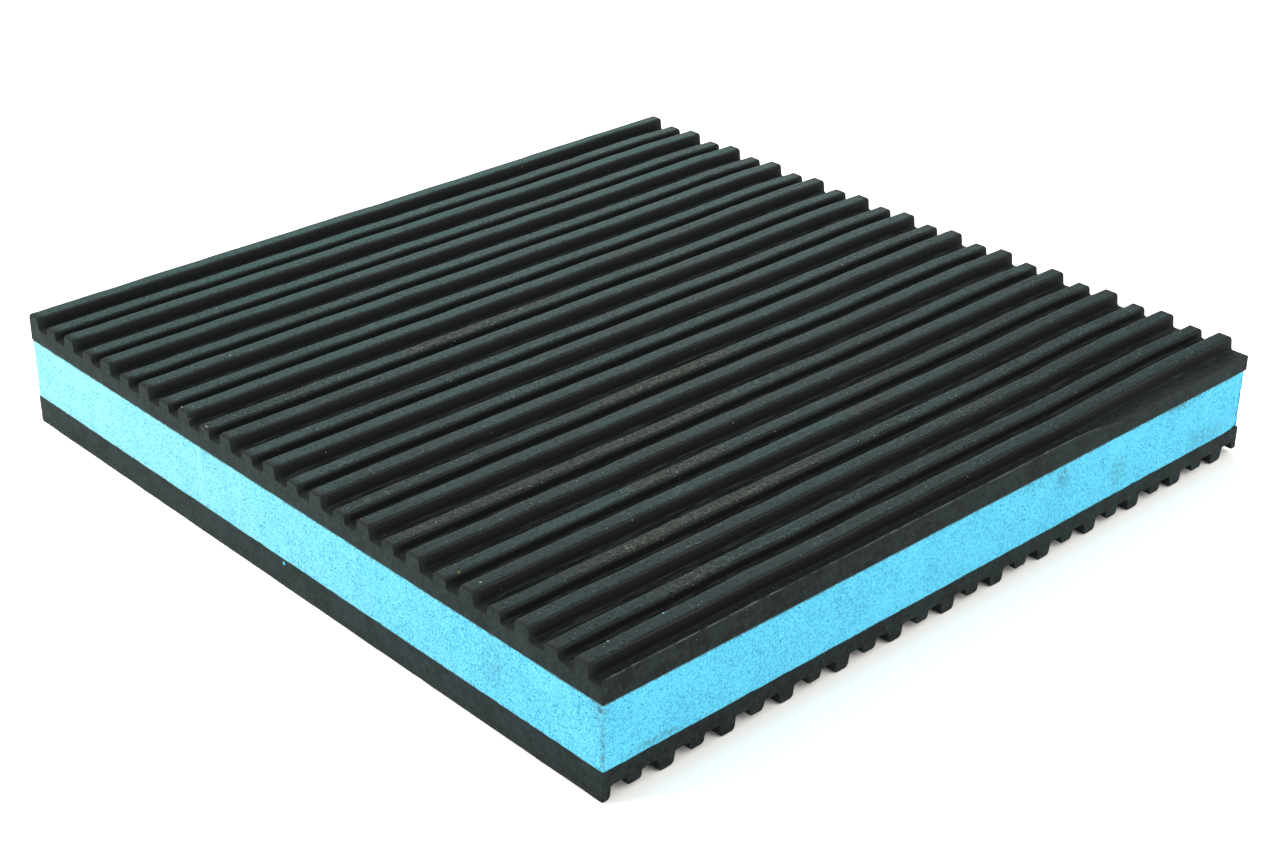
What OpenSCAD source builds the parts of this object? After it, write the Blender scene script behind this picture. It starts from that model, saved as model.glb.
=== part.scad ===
// Anti-vibration machine pad: a foam core bonded between two ribbed rubber sheets.
// The ribs of the two sheets cross at a right angle, and tall and short ribs take turns.
// The origin is at the middle of the underside, +Z is up. Lengths are in millimetres.

/* [Pad] */
// Width of the pad, across the ribs of the lower sheet
pad_w = 152.4; // [40:0.2:600]
// Length of the pad, across the ribs of the upper sheet
pad_l = 152.4; // [40:0.2:600]

/* [Foam core] */
// Thickness of the foam core
foam_t = 11.3; // [3:0.1:40]

/* [Rubber sheets] */
// Thickness of the rubber under the grooves
web_t = 2.8; // [1:0.1:8]
// Distance from one tall rib to the next
rib_pitch = 12.2; // [10:0.1:30]
// Width of a tall rib at its root
tall_rib_w = 3.3; // [2.4:0.1:4]
// Height of a tall rib above the grooves
tall_rib_h = 2.35; // [1.2:0.05:5]
// Width of a short rib at its root
short_rib_w = 3; // [2.4:0.1:4]
// Height of a short rib above the grooves
short_rib_h = 1.65; // [1.2:0.05:5]
// Lean of the rib walls from upright, in degrees
rib_draft = 6; // [1:0.5:8]
// Radius along the top edges of the ribs
tip_r = 0.5; // [0.1:0.05:0.55]
// Radius in the corners between the ribs and the grooves
root_r = 0.4; // [0.1:0.05:0.55]

/* [Where the sheets are cut] */
// Distance of the upper sheet's first tall rib inside the back edge
top_rib_start = 1.1; // [0:0.1:30]
// Distance of the lower sheet's first tall rib inside the left edge
bottom_rib_start = 0; // [0:0.1:30]
// Narrowest strip of a cut rib that stays on the sheet
cut_strip_min = 0.2; // [0.1:0.05:1]

/* [Hidden] */
$fn = 48;
// How far the rib sections reach into the web below them
overlap = web_t / 2;
// How far a rounding reaches past the walls that it blends, so that they cross
lap = 0.01;
sheet_t = web_t + max(tall_rib_h, short_rib_h);
foam_z = sheet_t;
top_z = foam_z + foam_t;
rubber_colour = [0.16, 0.18, 0.18];
foam_colour = [0.42, 0.82, 0.96];

// Half width of a rib at height z above the grooves
function flank_x(root_w, z) = root_w / 2 - z * tan(rib_draft);

// Width taken on the level by a length that stands square to a flank
function across_flank(length) = length / cos(rib_draft);

// Corner outside the rounding of a rib's right top edge
module tip_corner(root_w, rib_h) {
    centre_z = rib_h - tip_r + lap;
    translate([flank_x(root_w, centre_z) - across_flank(tip_r - lap), centre_z])
        difference() {
            square(2 * tip_r);
            circle(r = tip_r);
        }
}

// Rubber that fills the corner at the right root of a rib
module root_fillet(root_w) {
    centre_z = root_r - lap;
    translate([flank_x(root_w, centre_z) + across_flank(root_r - lap), centre_z])
        difference() {
            translate([-2 * root_r, -2 * root_r])
                square(2 * root_r);
            circle(r = root_r);
        }
}

// Section of one rib, standing on the groove floor
module rib_section(root_w, rib_h) {
    difference() {
        polygon([
            [-flank_x(root_w, -overlap), -overlap],
            [flank_x(root_w, -overlap), -overlap],
            [flank_x(root_w, rib_h), rib_h],
            [-flank_x(root_w, rib_h), rib_h]
        ]);
        tip_corner(root_w, rib_h);
        mirror([1, 0])
            tip_corner(root_w, rib_h);
    }
    root_fillet(root_w);
    mirror([1, 0])
        root_fillet(root_w);
}

// Ribs of one kind along the span, whole or cut by its ends
module rib_row(span, first, root_w, rib_h) {
    reach = root_w / 2 - cut_strip_min;
    lowest = ceil((-reach - first) / rib_pitch);
    highest = floor((span + reach - first) / rib_pitch);
    for (i = [lowest:highest])
        translate([first + i * rib_pitch, web_t])
            rib_section(root_w, rib_h);
}

// Section of a ribbed sheet cut to the span, with its smooth side at zero height
module sheet_section(span, first) {
    intersection() {
        square([span, sheet_t]);
        union() {
            square([span, web_t]);
            rib_row(span, first, tall_rib_w, tall_rib_h);
            rib_row(span, first + rib_pitch / 2, short_rib_w, short_rib_h);
        }
    }
}

// Ribbed sheet of rubber, ribs up, running along Y, with its smooth side at zero height
module ribbed_sheet(span, run, first) {
    translate([-span / 2, run / 2, 0])
        rotate([90, 0, 0])
            linear_extrude(height = run)
                sheet_section(span, first);
}

// Upper sheet: its ribs run along X, counted from the back edge
module upper_rubber_sheet() {
    color(rubber_colour)
        translate([0, 0, top_z])
            rotate([0, 0, -90])
                ribbed_sheet(pad_l, pad_w, top_rib_start);
}

module foam_core() {
    color(foam_colour)
        translate([-pad_w / 2, -pad_l / 2, foam_z])
            cube([pad_w, pad_l, foam_t]);
}

// Lower sheet: turned over, its ribs run along Y, counted from the left edge
module lower_rubber_sheet() {
    color(rubber_colour)
        translate([0, 0, sheet_t])
            mirror([0, 0, 1])
                ribbed_sheet(pad_w, pad_l, bottom_rib_start);
}

upper_rubber_sheet();
foam_core();
lower_rubber_sheet();
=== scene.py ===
"""Looks of an anti-vibration machine pad: foam between two ribbed rubber sheets, on a white floor."""

import math

import bmesh
import bpy
import numpy as np
from mathutils import Matrix, Vector, noise


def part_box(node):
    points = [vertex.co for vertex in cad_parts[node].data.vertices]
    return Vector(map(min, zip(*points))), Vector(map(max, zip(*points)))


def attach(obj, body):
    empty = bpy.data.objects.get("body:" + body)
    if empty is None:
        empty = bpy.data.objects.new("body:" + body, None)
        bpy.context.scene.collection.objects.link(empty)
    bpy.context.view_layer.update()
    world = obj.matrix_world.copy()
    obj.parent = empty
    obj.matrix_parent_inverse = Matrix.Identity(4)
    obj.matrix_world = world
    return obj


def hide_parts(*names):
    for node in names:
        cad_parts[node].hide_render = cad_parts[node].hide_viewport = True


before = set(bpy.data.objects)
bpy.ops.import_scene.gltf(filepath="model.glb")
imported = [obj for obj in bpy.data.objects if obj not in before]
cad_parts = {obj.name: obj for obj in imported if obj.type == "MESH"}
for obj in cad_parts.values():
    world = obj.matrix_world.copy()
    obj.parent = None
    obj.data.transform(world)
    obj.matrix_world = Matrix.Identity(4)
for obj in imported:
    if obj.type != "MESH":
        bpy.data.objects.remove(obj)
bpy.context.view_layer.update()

MM = 0.001

# Sizes of the pad that the solids give, in millimetres
UPPER_LOW, UPPER_HIGH = (np.array(corner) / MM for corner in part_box("upper_rubber_sheet"))
FOAM_LOW, FOAM_HIGH = (np.array(corner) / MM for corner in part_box("foam_core"))
LOWER_LOW, LOWER_HIGH = (np.array(corner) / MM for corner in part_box("lower_rubber_sheet"))
PAD_W = UPPER_HIGH[0] - UPPER_LOW[0]
PAD_L = UPPER_HIGH[1] - UPPER_LOW[1]
SHEET_T = UPPER_HIGH[2] - UPPER_LOW[2]
# Planes of the left, right and front faces, on which the marks lie
LEFT_X = -76.2
RIGHT_X = 76.2
FRONT_Y = -76.2

# Rib pattern of the rubber sheets, in millimetres, and its draft in radians
RIB_PITCH = 12.2
TALL_RIB_W = 3.3
TALL_RIB_H = 2.35
SHORT_RIB_W = 3.0
SHORT_RIB_H = 1.65
WEB_T = SHEET_T - TALL_RIB_H
RIB_DRAFT = math.radians(6)
UPPER_TIP_R = 0.45
LOWER_TIP_R = 0.65
ROOT_R = 0.4
# How far from its middle a rib reaches with its root
ROOT_REACH = 1.95
UPPER_FIRST_RIB = 1.1
LOWER_FIRST_RIB = 0.0
# How the ribs of the upper sheet stray from straight: the ones in the middle lie further back than those at
# the front and back, all bend back at their right ends, and the one that the front edge cuts leaves the pad
UPPER_BOW = 0.45
UPPER_BEND = 0.80
CUT_RIB_LEAVES = 0.90
# Share of the bow at which a rib lies in its own place
BOW_LEVEL = 0.40
# Shares of the run over which the ribs bend back, over which they ease again and over which the cut one
# leaves
BEND_RUN = (0.66, 0.94)
EASE_RUN = (0.92, 1.0)
LEAVE_RUN = (0.60, 1.0)
# Share of the bend that they lose as they ease
EASE_SHARE = 0.4

# How finely the sheets are divided
TIP_STEPS = 5
ROOT_STEPS = 4
FLANK_STEPS = 2
TOP_STEPS = 4
GROOVE_STEPS = 3
RUN_STEPS = 96
# Places of the sections at a cut end, and where the even spacing takes over, in millimetres from the end
END_STATIONS = (0.0, 0.04, 0.1, 0.2, 0.34, 0.55, 0.95)
END_ZONE = 2.0
# Places of the rings of points down the cut sides, as depths in millimetres
CUT_LEVELS = (0.2, 0.45, 1.3, 2.6, 4.0)
# Width of the section that is kept beyond each edge, for the sway to bring in
SPARE_W = 1.3
# Distance in millimetres within which a point lies on an edge
ON_EDGE = 1e-6

# How uneven moulding and cutting leave the rubber, in millimetres. Waves and grain have a size and a depth
RIB_SWAY = 0.26
RIB_SWAY_LENGTH = 11.0
RIB_RISE = 0.06
CUT_WAVE = (2.4, 0.11)
CUT_GRAIN = (0.7, 0.06)
END_R = 0.3
EDGE_REACH = 1.0
# Shares of the slow and the quick sway, and of both for a rib whose middle is cut away
SLOW_SWAY = 0.65
QUICK_SWAY = 0.35
CUT_RIB_SWAY = 0.15
# Share of the rise by which the rib tops lie low
RIB_LOW = 0.7
# Share of the upright size of a wave of the cut that counts, which draws the wave out
CUT_UPRIGHT = 0.35
# How much the radius of the rib ends differs, and the share of their drop that the groove floor has
END_R_SPREAD = 0.5
GROOVE_DROP = 0.35
# Worn front edge with a painted highlight line: band width, and shares of the run at which both have gone
# and are still full
WEAR_HIGHLIGHT_BAND = 0.5
WEAR_HIGHLIGHT_RUN = (0.82, 0.60)
# How far from the cut end the ribs look cut
RIB_END_REACH = 2.4

# Seeds of the noise, and the steps in it from seed to seed, from rib to rib and between the ends of a rib
UPPER_SEED = 21
LOWER_SEED = 51
CUT_SEED_STEP = 10
FOAM_SEED = 11
SEED_STEP = (7.31, 3.17, 5.73)
RIB_NOISE_STEP = 9.7
END_NOISE_STEP = 5.3
END_NOISE_GAP = 9.0

# How the meshes are finished: distances in millimetres within which points merge and slivers go, and angles
# in radians from which an edge is sharp
MERGE_DISTANCE = 0.002
SLIVER_DISTANCE = 0.001
SHEET_SHARP = math.radians(34)
FOAM_SHARP = math.radians(55)

# Marks on the rib tops of the upper sheet: number of the rib from the back edge, from 0, where the mark
# starts and ends in millimetres from the left end, how brown it is and how pitted, both from 0 to 1
RIB_MARKS = (
    (5, 34, 44, 0.35, 0.4),
    (8, 94, 102, 0.35, 0.0),
    (9, 6, 24, 0.2, 0.6),
    (9, 40, 77, 0.9, 0.5),
    (9, 77, 98, 0.1, 0.9),
    (10, 93, 102, 0.4, 0.0),
    (11, 38, 69, 0.1, 0.8),
    (13, 49, 74, 0.1, 1.0),
    (15, 50, 85, 1.0, 0.5),
    (15, 86, 98, 0.1, 0.9),
    (17, 4, 70, 0.9, 0.6),
    (17, 74, 82, 0.1, 1.0),
    (19, 38, 57, 0.8, 0.7),
    (20, 81, 91, 0.45, 0.0),
    (21, 15, 68, 0.9, 0.6),
    (21, 78, 90, 0.1, 0.8),
    (21, 112, 118, 0.1, 0.8),
    (22, 92, 103, 0.4, 0.0),
    (23, 21, 33, 0.9, 0.4),
)
# How far a mark fades to each side of its start and its end
MARK_FADE = 4.0

# How finely the foam's cut faces are divided and how uneven they are: bump size and depth in millimetres
FOAM_STEP = 0.4
FOAM_ROWS = 28
FOAM_CORNER_STEPS = 4
FOAM_CORNER_R = 0.3
FOAM_WAVE = (3.0, 0.14)
FOAM_CELL = (0.75, 0.14)
FOAM_TORN = (1.1, 0.6)
FOAM_TORN_CORNER = (RIGHT_X, FRONT_Y)
FOAM_TORN_REACH = 5.0

# Marks on the foam's cut faces: place on the pad, reach along the face and up it in millimetres, strength
PALE_MARKS = (
    ((LEFT_X, 22.8, 10.8), 1.3, 9.0, 0.9),
    ((LEFT_X, 7.5, 9.5), 1.6, 2.0, 0.6),
    ((LEFT_X, 12.0, 12.5), 2.0, 2.5, 0.4),
)
SOIL_MARKS = (
    ((LEFT_X, -75.4, 15.2), 2.2, 2.4, 1.0),
    ((LEFT_X, -76.0, 10.0), 1.0, 8.0, 0.8),
    ((-66.0, FRONT_Y, 6.0), 9.0, 1.2, 0.7),
    ((LEFT_X, -70.0, 16.6), 5.0, 1.0, 0.7),
    ((58.0, FRONT_Y, 16.4), 8.0, 1.9, 1.0),
    ((40.0, FRONT_Y, 9.5), 3.5, 4.5, 0.6),
    ((24.6, FRONT_Y, 14.2), 3.2, 3.6, 0.8),
    ((66.0, FRONT_Y, 7.0), 10.0, 3.0, 0.5),
    ((17.0, FRONT_Y, 16.0), 9.0, 2.2, 0.45),
    ((LEFT_X, -53.0, 11.5), 4.5, 6.5, 0.35),
)
DOT_MARKS = (
    ((LEFT_X, 23.5, 10.8), 2.0, 1.3, 1.0),
    ((LEFT_X, 19.5, 10.0), 2.0, 1.0, 0.7),
    ((LEFT_X, 27.5, 15.4), 1.2, 0.8, 0.8),
    ((74.0, FRONT_Y, 10.0), 2.6, 5.5, 1.0),
    ((54.5, FRONT_Y, 8.6), 5.0, 3.0, 0.9),
    ((58.0, FRONT_Y, 15.6), 8.0, 2.2, 0.9),
    ((24.6, FRONT_Y, 13.8), 3.0, 3.0, 0.9),
    ((50.0, FRONT_Y, 10.8), 30.0, 9.0, 0.3),
    ((15.0, FRONT_Y, 13.0), 16.0, 5.0, 0.6),
    ((LEFT_X, 23.8, 16.1), 2.4, 1.0, 0.8),
    ((-70.0, FRONT_Y, 7.0), 4.5, 1.6, 0.8),
    ((-66.0, FRONT_Y, 8.0), 8.0, 5.0, 0.5),
    ((LEFT_X, -51.5, 11.0), 3.5, 5.0, 0.8),
    ((-74.5, FRONT_Y, 12.0), 1.5, 4.0, 0.7),
    ((LEFT_X, -72.0, 14.0), 3.0, 2.0, 0.5),
)
# Share of its reach within which a mark or a single speck is at full strength
MARK_CORE = 0.2

# Colours, as linear light
RUBBER_WALL = (0.0140, 0.0163, 0.0158, 1)
# Film of dust on the rib tops; its teal lightness is partly painted sheen
FILM_DARK = (0.015, 0.028, 0.027, 1)
FILM_LIGHT = (0.0335, 0.0690, 0.0670, 1)
FILM_LEFT = (0.0335, 0.0570, 0.0545, 1)
# Painted highlight: the film's lighter, greener tone towards the back
FILM_PAINTED_SHEEN = (0.034, 0.080, 0.075, 1)
# Painted shade: the groove floors, dark, with grey grit lines
GROOVE_PAINTED_SHADE = (0.015, 0.0175, 0.0172, 1)
GROOVE_GREY = (0.045, 0.051, 0.050, 1)
# Painted shade: the front groove floor, mottled dark grey like the cut faces
FRONT_SHADE_DARK = (0.020, 0.0225, 0.0225, 1)
FRONT_SHADE_GREY = (0.029, 0.033, 0.033, 1)
GRIT_GREY = (0.155, 0.185, 0.180, 1)
EDGE_BROWN = (0.036, 0.0365, 0.035, 1)
# Wear along the front edge, partly a painted highlight line
EDGE_WEAR_AND_HIGHLIGHT = (0.150, 0.175, 0.170, 1)
DIRT_DARK = (0.017, 0.021, 0.016, 1)
DIRT_LIGHT = (0.049, 0.056, 0.040, 1)
PIT_BLACK = (0.006, 0.007, 0.007, 1)
CUT_BLACK = (0.0112, 0.0130, 0.0124, 1)
CUT_MID = (0.024, 0.030, 0.029, 1)
CUT_GREY = (0.0325, 0.0450, 0.0440, 1)
DUST_SPECK = (0.40, 0.37, 0.25, 1)
FOAM_BLUE = (0.145, 0.700, 0.943, 1)
# Painted light: foam paler towards the back and on the left face; also the colour of scraped marks
FOAM_PAINTED_LIGHT_AND_SCRAPE = (0.340, 0.745, 0.760, 1)
FOAM_SHADE = (0.079, 0.440, 0.684, 1)
FOAM_PIT = (0.022, 0.200, 0.330, 1)
FOAM_SOIL = (0.070, 0.180, 0.200, 1)
FOAM_GLUE = (0.070, 0.105, 0.080, 1)

# How dull and how shiny the surfaces are
RUBBER_ROUGHNESS = (0.48, 0.62)
CUT_ROUGHNESS = (0.62, 0.78)
FOAM_ROUGHNESS = 0.85
RUBBER_SHINE = 0.03
CUT_SHINE = 0.065
FOAM_SHINE = 0.2

# Where the looks change from one to the next, in millimetres along an axis from a face of the pad
LEFT_FILM = (0.0, 60.0)
LEFT_DUST = (14.0, 0.0)
FRONT_GROOVE = (3.6, 2.6)
CUT_LEFT_FACE = (1.2, 0.4)
# Painted light on the left cut face, lighter towards the back
CUT_LEFT_PAINTED_LIGHT = (-60.0, 60.0)
# Reach of the painted light on the left foam face
FOAM_LEFT_FACE = (1.2, 0.2)
TOP_SOIL = (-0.7, 0.2)
BOTTOM_SOIL = (0.5, -0.2)
BOTTOM_GLUE = (0.14, 0.02)
# Depth from the foam's top at which the glue line is full
TOP_GLUE_FULL = 0.08
# The same as depths below the tall rib tops: from groove to rib top, and from tall ribs to short ones
RIDGE_DEPTH = (1.6, 1.0)
SHORT_DEPTH = (0.35, 0.6)
# How the noise is drawn out: along the ribs, up the cut rubber and up the cut foam
RIB_DRAW = 14
CUT_DRAW = 12
FOAM_DRAW = 9
# Direction in which a noise is moved, to make it differ from another
SHIFT_WAY = (1.0, 1.7, 0.6)
# Outer and inner end of a speck's soft rim, as shares of its radius
SPECK_OUTER = 1.35
SPECK_INNER = 0.65

# Single specks: place on the pad and radius in millimetres, colour
TOP_SPECKS = (
    ((-59.65, -70.4, 21.6), 0.28, FOAM_BLUE),
    ((-75.5, -21.2, 21.6), 0.25, (0.25, 0.12, 0.04, 1)),
    ((-73.4, -42.0, 20.9), 0.34, (0.28, 0.25, 0.07, 1)),
    ((-19.4, 69.1, 21.6), 0.35, (0.12, 0.13, 0.11, 1)),
    ((-75.2, -9.8, 21.6), 0.22, (0.18, 0.18, 0.16, 1)),
    ((-73.5, -47.0, 21.6), 0.30, (0.34, 0.33, 0.22, 1)),
    ((-50.8, -53.2, 20.9), 0.30, (0.30, 0.27, 0.14, 1)),
    ((-50.0, -53.5, 20.9), 0.20, (0.34, 0.30, 0.16, 1)),
    ((-70.2, -70.5, 21.6), 0.24, (0.42, 0.44, 0.42, 1)),
    ((-59.0, 38.3, 21.6), 0.24, (0.38, 0.38, 0.34, 1)),
    ((-55.2, 37.6, 21.6), 0.22, (0.30, 0.29, 0.24, 1)),
)
SIDE_SPECKS = (
    ((59.2, -76.15, 20.0), 0.36, (0.50, 0.50, 0.48, 1)),
    ((-76.1, -0.2, 4.4), 0.45, FOAM_BLUE),
)
# Heaps of dust, and the stretch of the front with more grit: place on the pad and radius in millimetres
DUST_HEAPS = (((-76.0, 28.0, 20.2), 2.2), ((-75.4, 21.2, 20.6), 2.2))
GRITTY_FRONT = ((50.0, FRONT_Y, 18.5), 40.0)

# Camera of the photograph: place in millimetres, angles in degrees, frame in pixels, sensor in millimetres
CAMERA_PLACE = (-243.99, -261.89, 192.69)
CAMERA_AZIMUTH = -43.15
CAMERA_ELEVATION = 28.05
CAMERA_ROLL = 0.62
CAMERA_FOCAL_PX = 2250.0
FRAME_W_PX = 1280
SENSOR_W = 36.0
# Nearest and farthest distance that the camera sees, in metres
CLIP_NEAR = 0.01
CLIP_FAR = 50

# Studio, in metres and watts
FLOOR_SIZE = 6.0
FLOOR_COLOUR = (0.84, 0.94, 0.935, 1)
# What the camera sees of the floor on top of that, which makes it white where no shadow falls
FLOOR_LIFT = (0.638, 0.498, 0.430, 1)
SKY_COLOUR = (1, 1, 1, 1)
SKY_LEVEL = 0.62
SKY_WHITE_LEVEL = 1.0
# Softboxes: place, width, power
SOFTBOXES = {
    "left_box": ((-0.42, 0.26, 0.30), 0.30, 2.2),
    "back_box": ((0.75, 0.87, 0.49), 0.60, 7.0),
    "front_box": ((0.45, -1.00, 0.55), 1.00, 7.5),
}


# Small helpers


def wobble(points, size, seed):
    """Smooth noise from -1 to 1 at each of the points, with bumps of about the given size."""
    offset = Vector([seed * step for step in SEED_STEP])
    return np.array([noise.noise(Vector(point) / size + offset) for point in points])


def dents(points, wave, seed):
    """Depths from 0 to the wave's depth at each of the points, with dents of the wave's size."""
    size, depth = wave
    return depth * (0.5 + 0.5 * wobble(points, size, seed))


def ease(low, high, value):
    """0 at low, 1 at high, smooth between. low may be above high."""
    share = np.clip((value - low) / (high - low), 0, 1)
    return share * share * (3 - 2 * share)


def add_attribute(mesh, name, values):
    layer = mesh.attributes.new(name, "FLOAT", "POINT")
    layer.data.foreach_set("value", np.asarray(values, np.float32))


def finish_mesh(name, mesh, sharp_angle):
    """Object of a mesh with its doubled points merged, its normals outward and its hard edges sharp."""
    edit = bmesh.new()
    edit.from_mesh(mesh)
    bmesh.ops.remove_doubles(edit, verts=edit.verts, dist=MERGE_DISTANCE * MM)
    bmesh.ops.dissolve_degenerate(edit, edges=edit.edges, dist=SLIVER_DISTANCE * MM)
    bmesh.ops.recalc_face_normals(edit, faces=edit.faces)
    if edit.calc_volume(signed=True) < 0:
        bmesh.ops.reverse_faces(edit, faces=edit.faces)
    edit.to_mesh(mesh)
    edit.free()
    mesh.polygons.foreach_set("use_smooth", np.ones(len(mesh.polygons), bool))
    mesh.set_sharp_from_angle(angle=sharp_angle)
    mesh.update()
    piece = bpy.data.objects.new(name, mesh)
    bpy.context.scene.collection.objects.link(piece)
    return piece


# Ribbed rubber sheets


def arc(centre, radius, start, stop, steps):
    """Points of an arc, from start to stop in radians, without its first point."""
    turns = [start + (stop - start) * i / steps for i in range(1, steps + 1)]
    return [(centre[0] + radius * math.cos(turn), centre[1] + radius * math.sin(turn)) for turn in turns]


def straight(start, stop, steps):
    """Points of a straight line, without its first point."""
    return [tuple(np.array(start) + (np.array(stop) - start) * i / steps) for i in range(1, steps + 1)]


def half_rib(root_w, rib_h, tip_r):
    """Right half of a rib's section, from the middle of its top to the groove floor."""
    lean = math.tan(RIB_DRAFT)
    tip = (root_w / 2 - (rib_h - tip_r) * lean - tip_r / math.cos(RIB_DRAFT), rib_h - tip_r)
    root = (root_w / 2 - ROOT_R * lean + ROOT_R / math.cos(RIB_DRAFT), ROOT_R)
    points = [(0.0, rib_h)]
    points += straight(points[-1], (tip[0], rib_h), TOP_STEPS // 2)
    points += arc(tip, tip_r, math.pi / 2, RIB_DRAFT, TIP_STEPS)
    flank_end = (root[0] - ROOT_R * math.cos(RIB_DRAFT), root[1] - ROOT_R * math.sin(RIB_DRAFT))
    points += straight(points[-1], flank_end, FLANK_STEPS)
    points += arc(root, ROOT_R, math.pi + RIB_DRAFT, 1.5 * math.pi, ROOT_STEPS)
    return points


def sheet_section(first, span, tip_r):
    """Section of a sheet and a little beyond its edges: place across, height and rib of each point."""
    halves = (half_rib(TALL_RIB_W, TALL_RIB_H, tip_r), half_rib(SHORT_RIB_W, SHORT_RIB_H, tip_r))
    points = []
    for number in range(-2, 2 * math.ceil(span / RIB_PITCH) + 2):
        half = halves[number % 2]
        centre = first + number * RIB_PITCH / 2
        outline = [(centre - x, z) for x, z in reversed(half)] + [(centre + x, z) for x, z in half[1:]]
        if points:
            outline = straight(points[-1][:2], outline[0], GROOVE_STEPS)[:-1] + outline
        points += [(x, z, number) for x, z in outline]
    across, height, rib = np.array(points).T
    kept = (across > -SPARE_W) & (across < span + SPARE_W)
    return across[kept], height[kept] + WEB_T, rib[kept]


def run_stations(run):
    """Places along the ribs, close together at the two cut ends."""
    near_end = np.array(END_STATIONS)
    middle = np.linspace(END_ZONE, run - END_ZONE, RUN_STEPS)
    return np.concatenate([near_end, middle, run - near_end[::-1]])


def work_ribs(across, height, rib, stations, first, span, seed):
    """Let each rib sway and rise along its run and round its ends, as moulding and cutting leave them."""
    rise = np.clip((height - WEB_T) / SHORT_RIB_H, 0, 1)
    to_end = np.minimum(stations, stations[-1] - stations)
    for number in np.unique(rib):
        columns = rib == number
        line = [(station, number * RIB_NOISE_STEP, 0.0) for station in stations]
        sway = SLOW_SWAY * wobble(line, RIB_SWAY_LENGTH, seed)
        sway += QUICK_SWAY * wobble(line, RIB_SWAY_LENGTH / 4, seed + 1)
        lift = RIB_RISE * (wobble(line, RIB_SWAY_LENGTH / 2, seed + 2) - RIB_LOW)
        ends = [(0, number * END_NOISE_STEP, end) for end in (0.0, END_NOISE_GAP)]
        radius = END_R * (1 + END_R_SPREAD * wobble(ends, 1.0, seed + 3))
        radius = np.where(stations < stations[-1] / 2, radius[0], radius[1])
        into_round = np.clip(radius - to_end, 0, None)
        drop = radius - np.sqrt(radius ** 2 - into_round ** 2)
        middle = first + number * RIB_PITCH / 2
        follow = ease(RIB_PITCH / 4, ROOT_REACH, abs(across[:, columns] - middle))
        share = 1.0 if 0 < middle < span else CUT_RIB_SWAY
        across[:, columns] += RIB_SWAY * sway[:, None] * follow * share
        height[:, columns] += lift[:, None] * rise[:, columns]
        height[:, columns] -= drop[:, None] * (GROOVE_DROP + (1 - GROOVE_DROP) * rise[:, columns])
    np.minimum(height, WEB_T + TALL_RIB_H, out=height)


def stray(across, along, rib, span, run):
    """How far forward of straight each place of the upper sheet's pattern lies."""
    bend = ease(*BEND_RUN, along / run) - EASE_SHARE * ease(*EASE_RUN, along / run)
    forward = UPPER_BOW * ((2 * across / span - 1) ** 2 - BOW_LEVEL) - UPPER_BEND * bend
    return np.where(rib == rib.max(), CUT_RIB_LEAVES * ease(*LEAVE_RUN, along / run), forward)


def trim(across, height, span):
    """Cut the pattern at the two edges that it runs along: what lies beyond one is brought back to it."""
    for places, levels in zip(across, height):
        at_edges = np.interp((0.0, span), places, levels)
        for edge, level, beyond in zip((0.0, span), at_edges, (places < 0, places > span)):
            places[beyond] = edge
            levels[beyond] = level


def mark_ribs(rib, stations, marks):
    """How brown and how pitted the sheet is at each place, from its marks."""
    brown = np.zeros((len(stations), len(rib)))
    pitted = np.zeros_like(brown)
    for number, start, stop, how_brown, how_pitted in marks:
        fade_in = ease(start - MARK_FADE, start + MARK_FADE, stations)
        share = (fade_in * ease(stop + MARK_FADE, stop - MARK_FADE, stations))[:, None]
        columns = rib == number
        brown[:, columns] = np.maximum(brown[:, columns], how_brown * share)
        pitted[:, columns] = np.maximum(pitted[:, columns], how_pitted * share)
    return brown, pitted


def rim_of(rows, columns):
    """Row and column of each point around a grid, once round."""
    rim = [(0, i) for i in range(columns)] + [(j, columns - 1) for j in range(1, rows)]
    rim += [(rows - 1, i) for i in range(columns - 2, -1, -1)] + [(j, 0) for j in range(rows - 2, 0, -1)]
    return rim


def cut_dents(points, seed):
    """How far the knife went in at each of the points of a cut side."""
    return dents(points * (1, 1, CUT_UPRIGHT), CUT_WAVE, seed) + dents(points, CUT_GRAIN, seed + 1)


def press_in(surface, span, run, seed):
    """Dent the four edges of the ribbed surface inward, dying away over EDGE_REACH."""
    for axis, size in ((0, span), (1, run)):
        for edge, last, inward in ((0.0, 0, 1), (size, -1, -1)):
            depth = np.expand_dims(cut_dents(surface.take(last, 1 - axis), seed), 1 - axis)
            near = np.clip(1 - abs(surface[..., axis] - edge) / EDGE_REACH, 0, 1)
            surface[..., axis] += inward * depth * near


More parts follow.
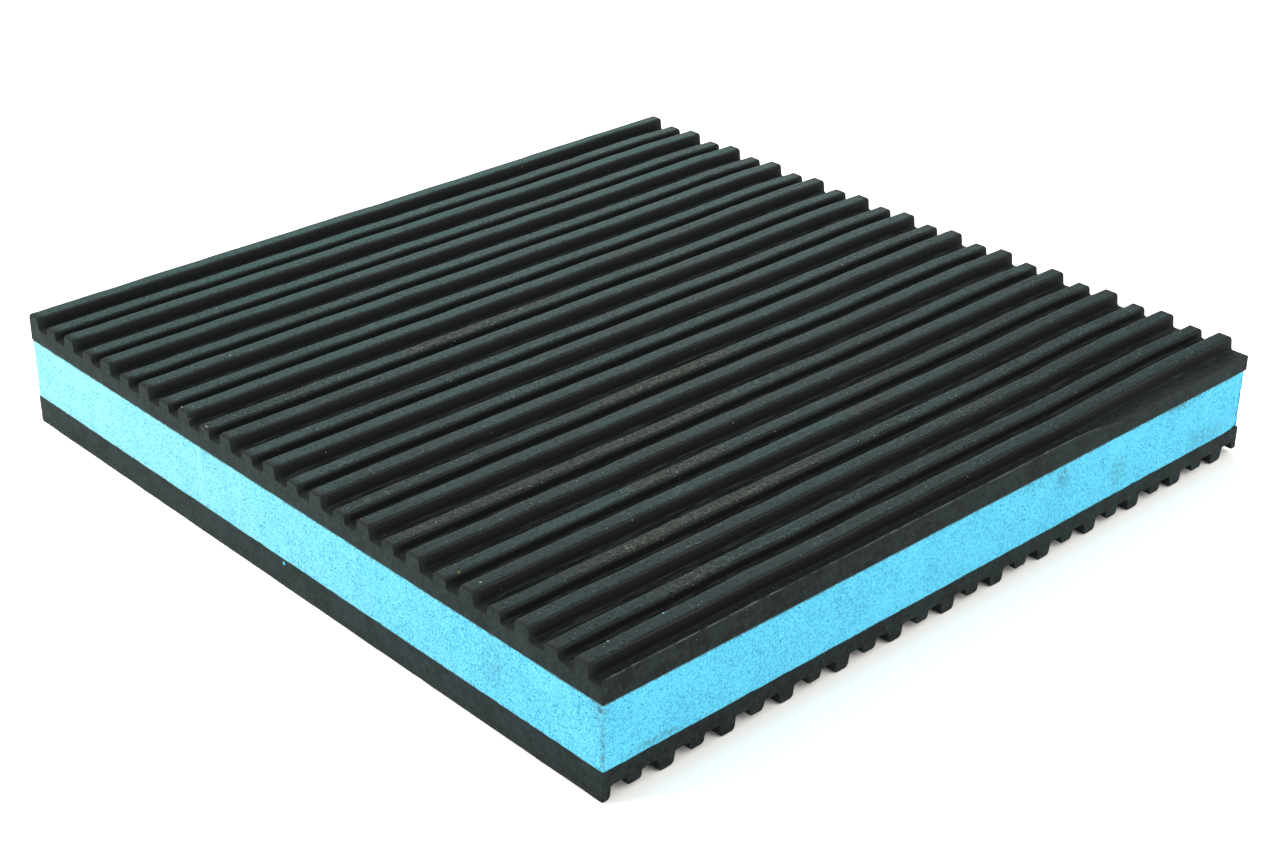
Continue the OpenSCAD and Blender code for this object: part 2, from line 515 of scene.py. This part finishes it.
def close_sheet(surface, span, run, seed):
    """Points and faces of the ribbed surface with four cut sides and a smooth side added, and its rim."""
    rows, columns = surface.shape[:2]
    grid = np.arange(rows * columns).reshape(rows, columns)
    rim = np.array([grid[j, i] for j, i in rim_of(rows, columns)])
    edge = surface.reshape(-1, 3)[rim]
    press_in(surface, span, run, seed)

    # Rings of points down the cut sides, dented inward so that they never stand proud of the solid
    points = [surface.reshape(-1, 3)]
    levels = [rim]
    for step, depth in enumerate(CUT_LEVELS + (SHEET_T,)):
        ring = edge * (1, 1, 1 - depth / SHEET_T)
        dent = cut_dents(ring, seed)
        for axis, size in ((0, span), (1, run)):
            ring[:, axis] += dent * (edge[:, axis] < ON_EDGE) - dent * (edge[:, axis] > size - ON_EDGE)
        points.append(ring)
        levels.append(grid.size + step * len(rim) + np.arange(len(rim)))
    points = np.concatenate(points + [[(span / 2, run / 2, 0)]])

    corners = [grid[:-1, :-1], grid[:-1, 1:], grid[1:, 1:], grid[1:, :-1]]
    faces = np.stack(corners, -1).reshape(-1, 4).tolist()
    moulded = len(faces)
    for upper, lower in zip(levels[:-1], levels[1:]):
        faces += np.stack([upper, lower, np.roll(lower, -1), np.roll(upper, -1)], -1).tolist()
    middle = np.full(len(rim), len(points) - 1)
    faces += np.stack([levels[-1], middle, np.roll(levels[-1], -1)], -1).tolist()
    return points, faces, moulded, rim


def ribbed_sheet(name, first, tip_r, span, run, strays, marks, seed, to_pad):
    """Closed mesh of a ribbed sheet. to_pad turns places across, along and up into places on the pad."""
    section_across, section_height, rib = sheet_section(first, span, tip_r)
    stations = run_stations(run)
    across, along = np.meshgrid(section_across, stations)
    height = np.repeat(section_height[None, :], len(stations), 0)
    work_ribs(across, height, rib, stations, first, span, seed)
    if strays:
        across += stray(across, along, rib, span, run)
    trim(across, height, span)
    surface = np.stack([across, along, height], -1)
    points, faces, moulded, rim = close_sheet(surface, span, run, seed + CUT_SEED_STEP)

    mesh = bpy.data.meshes.new(name)
    mesh.from_pydata([Vector(to_pad(point)) * MM for point in points], [], faces)
    finish_of_face = np.ones(len(faces), np.int32)
    finish_of_face[:moulded] = 0
    mesh.polygons.foreach_set("material_index", finish_of_face)
    for attribute, values in zip(("brown", "pitted"), mark_ribs(rib, stations, marks)):
        add_attribute(mesh, attribute, np.pad(values.ravel(), (0, len(points) - values.size)))
    # Wear along the front edge of the upper sheet, partly a painted highlight line that fades towards the
    # right end
    wear_and_highlight = np.zeros(len(points))
    if strays:
        wear_and_highlight[rim] = (points[rim, 0] > span - WEAR_HIGHLIGHT_BAND) * ease(*WEAR_HIGHLIGHT_RUN, points[rim, 1] / run)
        wear_and_highlight[across.size:across.size + len(rim)] = wear_and_highlight[rim]
    add_attribute(mesh, "wear_and_highlight", wear_and_highlight)
    to_end = np.minimum(points[:, 1], run - points[:, 1])
    add_attribute(mesh, "rib_end", ease(RIB_END_REACH, 0.0, to_end))
    return finish_mesh(name, mesh, SHEET_SHARP)


def on_upper(point):
    """Upper sheet: across runs from the back edge forward, along runs from left to right."""
    across, along, up = point
    return (UPPER_LOW[0] + along, UPPER_HIGH[1] - across, UPPER_LOW[2] + up)


def on_lower(point):
    """Lower sheet, ribs down: across runs from left to right, along runs from front to back."""
    across, along, up = point
    return (LOWER_LOW[0] + across, LOWER_LOW[1] + along, LOWER_HIGH[2] - up)


# Foam core


def rounded_rim(width, length, radius, step):
    """Points around a rectangle with rounded corners, with the outward direction at each."""
    points, outward = [], []
    for turn, (side_x, side_y) in enumerate(((1, -1), (1, 1), (-1, 1), (-1, -1))):
        centre = np.array((side_x * (width / 2 - radius), side_y * (length / 2 - radius)))
        for i in range(FOAM_CORNER_STEPS + 1):
            angle = math.pi / 2 * (turn - 1 + i / FOAM_CORNER_STEPS)
            outward.append(np.array((math.cos(angle), math.sin(angle))))
            points.append(centre + radius * outward[-1])
        run = (length if turn % 2 == 0 else width) - 2 * radius
        tangent = np.array((-outward[-1][1], outward[-1][0]))
        corner = points[-1]
        steps = int(run / step)
        for i in range(1, steps):
            points.append(corner + tangent * run * i / steps)
            outward.append(outward[-1])
    return np.array(points), np.array(outward)


def mark_foam(points, marks):
    """Strongest mark at each of the points."""
    strength = np.zeros(len(points))
    for centre, along, up, level in marks:
        away = points - np.array(centre)
        distance = np.hypot(np.hypot(away[:, 0], away[:, 1]) / along, away[:, 2] / up)
        strength = np.maximum(strength, level * ease(1.0, MARK_CORE, distance))
    return strength


def foam_slab(name):
    """Closed mesh of the foam core, with the opened cells and waves that a knife leaves on its faces."""
    rim, outward = rounded_rim(PAD_W, PAD_L, FOAM_CORNER_R, FOAM_STEP)
    heights = np.linspace(FOAM_LOW[2], FOAM_HIGH[2], FOAM_ROWS + 1)
    count = len(rim)
    points = np.concatenate([np.column_stack([rim, np.full(count, height)]) for height in heights])
    depth = dents(points, FOAM_WAVE, FOAM_SEED) + dents(points, FOAM_CELL, FOAM_SEED + 1)
    to_corner = np.hypot(points[:, 0] - FOAM_TORN_CORNER[0], points[:, 1] - FOAM_TORN_CORNER[1])
    depth += dents(points, FOAM_TORN, FOAM_SEED + 2) * ease(FOAM_TORN_REACH, 0.0, to_corner)
    marks = {"pale": PALE_MARKS, "soil": SOIL_MARKS, "dots": DOT_MARKS}
    strengths = {attribute: mark_foam(points, places) for attribute, places in marks.items()}
    points[:, :2] -= np.tile(outward, (FOAM_ROWS + 1, 1)) * depth[:, None]

    # The glued faces fan out from a point in the middle of each
    around = np.arange(count)
    middles = [(0.0, 0.0, FOAM_LOW[2]), (0.0, 0.0, FOAM_HIGH[2])]
    bottom = np.stack([np.full(count, len(points)), np.roll(around, -1), around], -1)
    top = np.stack([np.full(count, len(points) + 1), around, np.roll(around, -1)], -1)
    top[:, 1:] += FOAM_ROWS * count
    faces = bottom.tolist() + top.tolist()
    points = np.concatenate([points, middles])
    for level in range(FOAM_ROWS):
        low = level * count + around
        high = low + count
        faces += np.stack([low, np.roll(low, -1), np.roll(high, -1), high], -1).tolist()
    mesh = bpy.data.meshes.new(name)
    mesh.from_pydata([Vector(point) * MM for point in points], [], faces)
    for attribute, values in strengths.items():
        add_attribute(mesh, attribute, np.pad(values, (0, len(middles))))
    return finish_mesh(name, mesh, FOAM_SHARP)


# Materials


class Shader:
    """A material whose nodes are added one call at a time, with places on the object in millimetres."""

    def __init__(self, name):
        self.material = bpy.data.materials.new(name)
        self.material.use_nodes = True
        self.tree = self.material.node_tree
        self.bsdf = self.tree.nodes["Principled BSDF"]
        coordinates = self.tree.nodes.new("ShaderNodeTexCoord")
        self.normal = coordinates.outputs["Normal"]
        inputs = {0: coordinates.outputs["Object"], "Scale": 1 / MM}
        self.place = self.add("ShaderNodeVectorMath", inputs, operation="SCALE").outputs[0]

    def add(self, kind, inputs, **settings):
        node = self.tree.nodes.new(kind)
        for key, value in settings.items():
            setattr(node, key, value)
        for key, value in inputs.items():
            self.put(node.inputs[key], value)
        return node

    def put(self, socket, value):
        if isinstance(value, bpy.types.NodeSocket):
            self.tree.links.new(value, socket)
        else:
            socket.default_value = value

    def surface(self, **values):
        """Set the surface's own sockets, given as Base_Color and the like."""
        for key, value in values.items():
            self.put(self.bsdf.inputs[key.replace("_", " ")], value)

    def math(self, operation, first, second):
        return self.add("ShaderNodeMath", {0: first, 1: second}, operation=operation).outputs[0]

    def most(self, first, second):
        return self.math("MAXIMUM", first, second)

    def times(self, *values):
        product = values[0]
        for value in values[1:]:
            product = self.math("MULTIPLY", product, value)
        return product

    def total(self, *parts):
        """Sum of parts, each a weight and a value."""
        result = self.times(parts[0][1], parts[0][0])
        for weight, value in parts[1:]:
            result = self.math("ADD", result, self.times(value, weight))
        return result

    def axis(self, vector, name):
        return self.add("ShaderNodeSeparateXYZ", {0: vector}).outputs[name]

    def attribute(self, name):
        return self.add("ShaderNodeAttribute", {}, attribute_name=name).outputs["Fac"]

    def ramp(self, value, low, high, start=0.0, stop=1.0):
        """Eased from start, where the value is low, to stop, where it is high."""
        inputs = {"Value": value, "From Min": low, "From Max": high, "To Min": start, "To Max": stop}
        return self.add("ShaderNodeMapRange", inputs, interpolation_type="SMOOTHSTEP").outputs["Result"]

    def beside(self, axis, face, reach, start=0.0, stop=1.0):
        """Eased from start to stop between two distances from a face of the pad."""
        low, high = reach
        return self.ramp(self.axis(self.place, axis), face + low, face + high, start, stop)

    def mix(self, share, first, second):
        node = self.add("ShaderNodeMix", {"Factor": share}, data_type="RGBA")
        self.put(node.inputs[6], first)
        self.put(node.inputs[7], second)
        return node.outputs[2]

    def shifted(self, shift, stretch):
        """Places for a noise that is drawn out by stretch and moved by shift."""
        inputs = {0: self.place, 1: tuple(1 / draw for draw in stretch)}
        place = self.add("ShaderNodeVectorMath", inputs, operation="MULTIPLY").outputs[0]
        inputs = {0: place, 1: tuple(shift * way for way in SHIFT_WAY)}
        return self.add("ShaderNodeVectorMath", inputs, operation="ADD").outputs[0]

    def noise(self, size, detail, roughness, stretch=(1, 1, 1), shift=0.0):
        """Noise with features of about the given size in millimetres, drawn out by stretch."""
        inputs = {"Vector": self.shifted(shift * size, stretch), "Scale": 1 / size}
        inputs.update({"Detail": detail, "Roughness": roughness})
        return self.add("ShaderNodeTexNoise", inputs).outputs["Fac"]

    def specks(self, cell, share, radius, shift):
        """Round spots of a radius in millimetres, one in each chosen cell. share is how many are chosen."""
        inputs = {"Vector": self.shifted(shift, (1, 1, 1)), "Scale": 1 / cell}
        cells = self.add("ShaderNodeTexVoronoi", inputs)
        chosen = self.axis(cells.outputs["Color"], "X")
        chosen = self.math("GREATER_THAN", chosen, self.math("SUBTRACT", 1.0, share))
        reach = radius / cell
        spot = self.ramp(cells.outputs["Distance"], reach * SPECK_OUTER, reach * SPECK_INNER)
        return self.times(spot, chosen)

    def near(self, centre, radius):
        """1 at a place on the pad in millimetres, falling to 0 at the radius."""
        distance = self.add("ShaderNodeVectorMath", {0: self.place, 1: centre}, operation="DISTANCE")
        return self.ramp(distance.outputs["Value"], radius, radius * MARK_CORE)

    def heaps(self):
        """Grains of dust, dense in the middle of each heap."""
        share = self.near(*DUST_HEAPS[0])
        for heap in DUST_HEAPS[1:]:
            share = self.most(share, self.near(*heap))
        return self.specks(cell=0.6, share=self.times(share, 0.7), radius=0.16, shift=12.0)

    def bump(self, height, distance, strength, normal=None):
        inputs = {"Height": height, "Distance": distance * MM, "Strength": strength}
        if normal is not None:
            inputs["Normal"] = normal
        return self.add("ShaderNodeBump", inputs).outputs["Normal"]


def moulded_rubber(name, across, grain, crest, facing):
    """Black rubber as it leaves the mould: dark walls, and tops under film and painted sheen, stains, pits
    and specks.

    across is the axis across the ribs, grain draws marks out along them, crest is the height of the tall
    rib tops and facing is 1 up or -1 down.
    """
    look = Shader(name)
    # Film on faces that point up, and more on those leaning along the across axis, to the back on the upper
    # sheet; faces leaning the other way keep the dark wall colour as painted shade
    tilt = look.times(look.axis(look.normal, "Z"), facing)
    lean = look.axis(look.normal, across)
    top = look.ramp(look.total((0.94, tilt), (0.34, lean)), 0.05, 0.78)
    depth = look.times(look.math("SUBTRACT", crest, look.axis(look.place, "Z")), facing)
    # Only the ridges take the film; the groove floors stay dark as painted shade
    ridge = look.ramp(depth, *RIDGE_DEPTH)

    # Film of dust on the tops, its teal lightness partly painted sheen, lighter to the back as a painted
    # highlight
    cloud = look.noise(size=13.0, detail=3.0, roughness=0.55)
    band = look.noise(size=5.0, detail=2.0, roughness=0.5, stretch=grain, shift=17.0)
    streak = look.noise(size=0.6, detail=3.0, roughness=0.6, stretch=grain)
    mottle = look.noise(size=0.9, detail=2.0, roughness=0.6, shift=3.0)
    speckle = look.noise(size=0.45, detail=1.0, roughness=0.5, shift=13.0)
    to_back = look.axis(look.place, "Y")
    # Painted highlight: the tops grow lighter towards the back
    far = look.ramp(to_back, UPPER_LOW[1], UPPER_HIGH[1], -0.05, 0.07)
    uneven = look.total((0.18, cloud), (0.24, band), (0.18, streak), (0.22, mottle), (0.18, speckle))
    shade = look.math("ADD", far, uneven)
    # Painted highlight: the film turns lighter and greener towards the back
    light = look.mix(look.ramp(to_back, 0.0, UPPER_HIGH[1]), FILM_LIGHT, FILM_PAINTED_SHEEN)
    light = look.mix(look.beside("X", UPPER_LOW[0], LEFT_FILM, 0.7, 0.0), light, FILM_LEFT)
    film = look.mix(look.ramp(shade, 0.43, 0.58), FILM_DARK, light)

    # Brown stains, pits and grit on the film
    patch = look.noise(size=2.2, detail=4.0, roughness=0.7, stretch=grain, shift=5.0)
    brown = look.times(look.attribute("brown"), look.ramp(patch, 0.35, 0.62, 0.25, 1.0))
    mottled = look.ramp(mottle, 0.38, 0.62)
    film = look.mix(brown, film, look.mix(mottled, DIRT_DARK, DIRT_LIGHT))
    pitted = look.attribute("pitted")
    short = look.ramp(depth, *SHORT_DEPTH)
    often = look.total((0.55, pitted), (0.12, short), (0.20, 1.0))
    dense = look.specks(cell=0.5, share=often, radius=0.17, shift=2.0)
    loose = look.specks(cell=1.7, share=0.40, radius=0.20, shift=6.0)
    pits = look.most(dense, loose)
    film = look.mix(look.times(pits, 0.85), film, PIT_BLACK)
    gritty = look.times(look.ramp(patch, 0.42, 0.62), look.ramp(short, 0.0, 1.0, 0.2, 0.6))
    grit = look.specks(cell=0.5, share=gritty, radius=0.14, shift=9.0)
    film = look.mix(look.times(grit, 0.6), film, GRIT_GREY)

    # Grooves dark as painted shade, walls, brown tip edges, cut ends, and the front edge's wear and painted
    # highlight
    # Groove floors dark as painted shade, with grey grit lines along them
    line = look.noise(size=0.35, detail=2.0, roughness=0.6, stretch=grain, shift=11.0)
    groove = look.mix(look.ramp(line, 0.42, 0.66), GROOVE_PAINTED_SHADE, GROOVE_GREY)
    # Painted shade: the front groove floor turns mottled dark grey, like the cut faces
    front = look.beside("Y", UPPER_LOW[1], FRONT_GROOVE)
    groove = look.mix(front, groove, look.mix(mottled, FRONT_SHADE_DARK, FRONT_SHADE_GREY))
    colour = look.mix(top, RUBBER_WALL, look.mix(ridge, groove, film))
    # The front-facing rounding of the rib tops turns grey-brown, between the film and the painted shade of
    # the front walls
    tip = look.times(look.ramp(lean, -0.45, -0.80), look.ramp(tilt, 0.0, 0.45), ridge)
    colour = look.mix(tip, colour, EDGE_BROWN)
    ragged = look.math("SUBTRACT", mottle, 0.5)
    end = look.ramp(look.total((1.0, look.attribute("rib_end")), (0.9, ragged)), 0.15, 0.95)
    colour = look.mix(end, colour, CUT_MID)
    # Wear on the front edge, partly a painted highlight line
    wear_and_highlight = look.times(look.attribute("wear_and_highlight"), look.ramp(patch, 0.30, 0.55))
    colour = look.mix(look.times(wear_and_highlight, 0.8), colour, EDGE_WEAR_AND_HIGHLIGHT)

    # Dust and single specks on top of everything
    left_end = look.beside("X", UPPER_LOW[0], LEFT_DUST)
    often = look.total((0.09, pitted), (0.12, brown), (0.04, left_end), (0.012, 1.0))
    small = look.specks(cell=0.8, share=often, radius=0.10, shift=7.0)
    large = look.specks(cell=4.2, share=0.10, radius=0.12, shift=3.0)
    dust = look.times(look.most(small, large), look.ramp(ridge, 0.0, 1.0, 0.3, 0.85))
    colour = look.mix(look.heaps(), colour, DUST_SPECK)
    colour = look.mix(dust, colour, DUST_SPECK)
    for place, radius, speck in TOP_SPECKS:
        colour = look.mix(look.near(place, radius), colour, speck)

    fine = look.bump(speckle, distance=0.06, strength=0.6)
    relief = look.math("SUBTRACT", streak, look.times(pits, 1.5))
    normal = look.bump(relief, distance=0.05, strength=0.7, normal=fine)
    roughness = look.ramp(shade, 0.36, 0.64, *RUBBER_ROUGHNESS)
    look.surface(Base_Color=colour, Roughness=roughness, Specular_IOR_Level=RUBBER_SHINE, Normal=normal)
    return look.material


def cut_rubber(name):
    """Rubber where a knife went through it: dark grey, with painted light on the left face, drag marks and
    pale grit.
    """
    look = Shader(name)
    cloud = look.noise(size=6.0, detail=3.0, roughness=0.6, shift=2.0)
    mottle = look.noise(size=0.9, detail=2.0, roughness=0.6)
    drag = look.noise(size=0.4, detail=3.0, roughness=0.6, stretch=(1, 1, CUT_DRAW))
    shade = look.total((0.3, cloud), (0.5, mottle), (0.2, drag))
    left = look.beside("X", UPPER_LOW[0], CUT_LEFT_FACE)
    # Lighter grey towards the right end, and on the left face lighter towards the back as painted light
    grey_to_right = look.ramp(look.axis(look.place, "X"), UPPER_LOW[0], UPPER_HIGH[0], 0.0, 0.58)
    painted_light_left = look.times(left, look.beside("Y", UPPER_LOW[1], CUT_LEFT_PAINTED_LIGHT))
    lighter_grey = look.most(grey_to_right, painted_light_left)
    grey = look.total((0.45, lighter_grey), (0.55, look.ramp(shade, 0.38, 0.62)))
    colour = look.mix(grey, CUT_BLACK, CUT_GREY)

    often = look.total((0.16, look.near(*GRITTY_FRONT)), (0.06, 1.0))
    small = look.specks(cell=0.9, share=often, radius=0.10, shift=1.0)
    large = look.specks(cell=4.1, share=0.14, radius=0.15, shift=8.0)
    colour = look.mix(look.times(look.most(small, large), 0.35), colour, DUST_SPECK)
    colour = look.mix(look.heaps(), colour, DUST_SPECK)
    patch = look.noise(size=2.5, detail=3.0, roughness=0.7, shift=4.0)
    # Wear on the front edge, partly a painted highlight line
    wear_and_highlight = look.times(look.attribute("wear_and_highlight"), look.ramp(patch, 0.35, 0.65))
    colour = look.mix(look.times(wear_and_highlight, 0.8), colour, EDGE_WEAR_AND_HIGHLIGHT)
    for place, radius, speck in SIDE_SPECKS:
        colour = look.mix(look.near(place, radius), colour, speck)

    fine = look.bump(mottle, distance=0.05, strength=0.6)
    normal = look.bump(drag, distance=0.05, strength=0.4, normal=fine)
    roughness = look.ramp(drag, 0.3, 0.7, *CUT_ROUGHNESS)
    look.surface(Base_Color=colour, Roughness=roughness, Specular_IOR_Level=CUT_SHINE, Normal=normal)
    return look.material


def blue_foam(name):
    """Closed-cell foam: fine cells opened by the knife, dark dots, upright cut marks, soiled edges and
    painted light.
    """
    look = Shader(name)
    grain = look.noise(size=0.36, detail=2.0, roughness=0.6)
    cut = look.noise(size=0.9, detail=3.0, roughness=0.6, stretch=(1, 1, FOAM_DRAW), shift=7.0)
    cloud = look.noise(size=6.0, detail=3.0, roughness=0.55, shift=3.0)
    # Painted light: paler towards the back and on the left face, with the grain fainter there
    left = look.beside("X", UPPER_LOW[0], FOAM_LEFT_FACE)
    far = look.ramp(look.axis(look.place, "Y"), UPPER_LOW[1], UPPER_HIGH[1])
    pale = look.total((0.85, far), (0.15, left))
    colour = look.mix(pale, FOAM_BLUE, FOAM_PAINTED_LIGHT_AND_SCRAPE)
    shade = look.total((0.75, grain), (0.10, cut), (0.15, cloud))
    shaded = look.times(look.ramp(shade, 0.58, 0.36), look.ramp(pale, 0.15, 0.85, 1.0, 0.65))
    colour = look.mix(shaded, colour, FOAM_SHADE)
    scraped = look.times(look.attribute("pale"), look.ramp(cut, 0.35, 0.6), 0.6)
    colour = look.mix(scraped, colour, FOAM_PAINTED_LIGHT_AND_SCRAPE)

    # Dark dots, in clusters
    cluster = look.ramp(look.noise(size=7.0, detail=2.0, roughness=0.5, shift=9.0), 0.50, 0.72)
    many = look.total((0.45, look.attribute("dots")), (0.16, cluster), (0.08, 1.0))
    small = look.specks(cell=0.6, share=many, radius=0.15, shift=4.0)
    large = look.specks(cell=1.9, share=0.07, radius=0.20, shift=1.0)
    dots = look.most(small, large)
    colour = look.mix(look.times(dots, 0.8), colour, FOAM_PIT)

    # Soil and the glue line along the two glued edges
    top_rim = look.beside("Z", FOAM_HIGH[2], TOP_SOIL)
    rim = look.most(top_rim, look.beside("Z", FOAM_LOW[2], BOTTOM_SOIL))
    blotch = look.ramp(look.noise(size=0.9, detail=4.0, roughness=0.75, shift=8.0), 0.38, 0.66)
    soil = look.times(look.most(look.attribute("soil"), look.times(rim, 0.65)), blotch)
    colour = look.mix(soil, colour, FOAM_SOIL)
    glue_from = look.math("SUBTRACT", FOAM_HIGH[2], look.total((0.30, blotch), (0.25, 1.0)))
    top_glue = look.ramp(look.axis(look.place, "Z"), glue_from, FOAM_HIGH[2] - TOP_GLUE_FULL)
    glue = look.most(top_glue, look.beside("Z", FOAM_LOW[2], BOTTOM_GLUE))
    colour = look.mix(look.times(glue, 0.8), colour, FOAM_GLUE)

    fine = look.bump(grain, distance=0.12, strength=0.6)
    relief = look.math("SUBTRACT", cut, dots)
    normal = look.bump(relief, distance=0.12, strength=0.5, normal=fine)
    look.surface(Base_Color=colour, Roughness=FOAM_ROUGHNESS, Specular_IOR_Level=FOAM_SHINE, Normal=normal)
    return look.material


# The dressed pieces


def dress(piece, materials, node):
    for material in materials:
        piece.data.materials.append(material)
    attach(piece, "root")
    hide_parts(node)


cut_side = cut_rubber("cut_rubber")

upper_sheet = ribbed_sheet("upper_sheet", UPPER_FIRST_RIB, UPPER_TIP_R, PAD_L, PAD_W,
                           strays=True, marks=RIB_MARKS, seed=UPPER_SEED, to_pad=on_upper)
upper_skin = moulded_rubber("moulded_rubber_upper", across="Y", grain=(RIB_DRAW, 1, 1),
                            crest=UPPER_HIGH[2], facing=1)
dress(upper_sheet, (upper_skin, cut_side), "upper_rubber_sheet")

lower_sheet = ribbed_sheet("lower_sheet", LOWER_FIRST_RIB, LOWER_TIP_R, PAD_W, PAD_L,
                           strays=False, marks=(), seed=LOWER_SEED, to_pad=on_lower)
lower_skin = moulded_rubber("moulded_rubber_lower", across="X", grain=(1, RIB_DRAW, 1),
                            crest=LOWER_LOW[2], facing=-1)
dress(lower_sheet, (lower_skin, cut_side), "lower_rubber_sheet")

foam = foam_slab("foam_slab")
dress(foam, (blue_foam("blue_foam"),), "foam_core")


# Studio


def show_white(tree, plain, white):
    """Plain shader, in whose place the camera and reflections see the white one."""
    path = tree.nodes.new("ShaderNodeLightPath")
    seen = path.outputs["Is Camera Ray"]
    for name in ("Is Glossy Ray", "Is Transmission Ray"):
        either = tree.nodes.new("ShaderNodeMath")
        either.operation = "MAXIMUM"
        tree.links.new(seen, either.inputs[0])
        tree.links.new(path.outputs[name], either.inputs[1])
        seen = either.outputs[0]
    blend = tree.nodes.new("ShaderNodeMixShader")
    tree.links.new(seen, blend.inputs["Fac"])
    tree.links.new(plain, blend.inputs[1])
    tree.links.new(white, blend.inputs[2])
    return blend.outputs[0]


def make_floor():
    bpy.ops.mesh.primitive_plane_add(size=FLOOR_SIZE, location=(0, 0, 0))
    floor = bpy.context.object
    floor.name = "studio_floor"
    material = bpy.data.materials.new("studio_white")
    material.use_nodes = True
    tree = material.node_tree
    tree.nodes.clear()
    plain = tree.nodes.new("ShaderNodeBsdfDiffuse")
    plain.inputs["Color"].default_value = FLOOR_COLOUR
    lift = tree.nodes.new("ShaderNodeBsdfDiffuse")
    lift.inputs["Color"].default_value = FLOOR_LIFT
    white = tree.nodes.new("ShaderNodeAddShader")
    tree.links.new(plain.outputs[0], white.inputs[0])
    tree.links.new(lift.outputs[0], white.inputs[1])
    output = tree.nodes.new("ShaderNodeOutputMaterial")
    shader = show_white(tree, plain.outputs[0], white.outputs[0])
    tree.links.new(shader, output.inputs["Surface"])
    floor.data.materials.append(material)


def make_sky():
    world = bpy.data.worlds.new("studio_sky")
    bpy.context.scene.world = world
    world.use_nodes = True
    tree = world.node_tree
    tree.nodes.clear()
    levels = {}
    for name, strength in (("plain", SKY_LEVEL), ("white", SKY_WHITE_LEVEL)):
        levels[name] = tree.nodes.new("ShaderNodeBackground")
        levels[name].inputs["Color"].default_value = SKY_COLOUR
        levels[name].inputs["Strength"].default_value = strength
    output = tree.nodes.new("ShaderNodeOutputWorld")
    shader = show_white(tree, levels["plain"].outputs[0], levels["white"].outputs[0])
    tree.links.new(shader, output.inputs["Surface"])


def make_lights():
    for name, (place, width, watts) in SOFTBOXES.items():
        light = bpy.data.lights.new(name, "AREA")
        light.size = width
        light.energy = watts
        lamp = bpy.data.objects.new(name, light)
        lamp.location = place
        lamp.rotation_euler = (-Vector(place)).to_track_quat("-Z", "Y").to_euler()
        bpy.context.scene.collection.objects.link(lamp)


def make_camera():
    data = bpy.data.cameras.new("photo_camera")
    data.sensor_fit = "HORIZONTAL"
    data.sensor_width = SENSOR_W
    data.lens = SENSOR_W * CAMERA_FOCAL_PX / FRAME_W_PX
    data.clip_start = CLIP_NEAR
    data.clip_end = CLIP_FAR
    camera = bpy.data.objects.new("photo_camera", data)
    turn = Matrix.Rotation(math.radians(CAMERA_AZIMUTH), 4, "Z")
    turn = turn @ Matrix.Rotation(math.radians(90 - CAMERA_ELEVATION), 4, "X")
    turn = turn @ Matrix.Rotation(math.radians(CAMERA_ROLL), 4, "Z")
    camera.matrix_world = Matrix.Translation(Vector(CAMERA_PLACE) * MM) @ turn
    bpy.context.scene.collection.objects.link(camera)
    bpy.context.scene.camera = camera


make_floor()
make_sky()
make_lights()
make_camera()
bpy.context.scene.view_settings.view_transform = "Standard"
